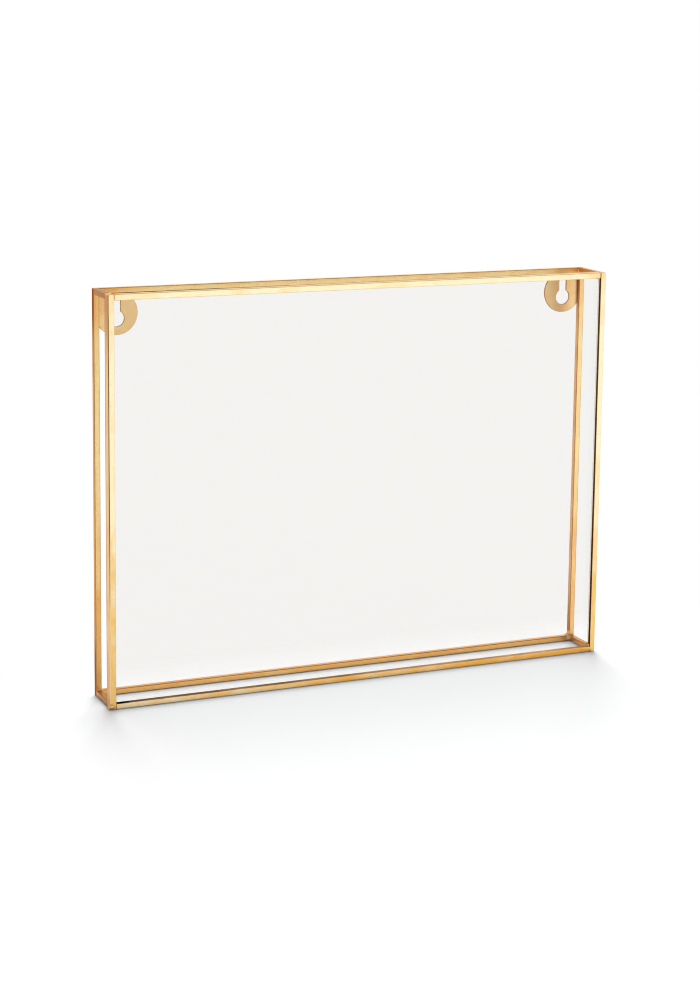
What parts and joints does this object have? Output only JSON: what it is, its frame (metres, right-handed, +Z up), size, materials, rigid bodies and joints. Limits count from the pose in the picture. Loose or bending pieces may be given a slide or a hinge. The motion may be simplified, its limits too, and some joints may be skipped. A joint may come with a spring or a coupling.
{
  "type": "floating frame",
  "caption": "Open box picture frame of slim brass bars, glazed in front, with keyhole hanger plates in the upper back corners.",
  "frame": {"origin": "on the resting surface, under the middle of the box", "axes": "+X along the width, +Y from the glazed front to the open back, +Z up"},
  "size_m": [0.278, 0.027, 0.21],
  "materials": {
    "front_brass": "satin, lightly brushed along the bars",
    "back_brass": "satin, lightly brushed along the bars, warmer and darker than the front",
    "plate_brass": "matt, mottled",
    "solder": "satin, uneven, flowed",
    "clear_glass": "clear, polished",
    "clear_sealant": "clear, smooth"
  },
  "bodies": {
    "root": {"front_left_stile": "front_brass", "front_right_stile": "front_brass", "front_bottom_rail": "front_brass", "front_top_rail": "front_brass", "back_left_stile": "back_brass", "tie_bottom_left": "back_brass", "tie_top_left": "back_brass", "back_right_stile": "back_brass", "tie_bottom_right": "back_brass", "tie_top_right": "back_brass", "back_bottom_rail": "back_brass", "back_top_rail": "back_brass", "front_pane": "clear_glass", "rear_pane": "clear_glass", "glazing_bead_left": "clear_sealant", "glazing_bead_right": "clear_sealant", "glazing_bead_bottom": "clear_sealant", "glazing_bead_top": "clear_sealant", "hanger_plate_left": "plate_brass", "hanger_plate_right": "plate_brass", "solder_back_bottom_left": "solder", "solder_front_bottom_left": "solder", "solder_back_top_left": "solder", "solder_front_top_left": "solder", "solder_back_bottom_right": "solder", "solder_front_bottom_right": "solder", "solder_back_top_right": "solder", "solder_front_top_right": "solder"}
  },
  "joints": []
}
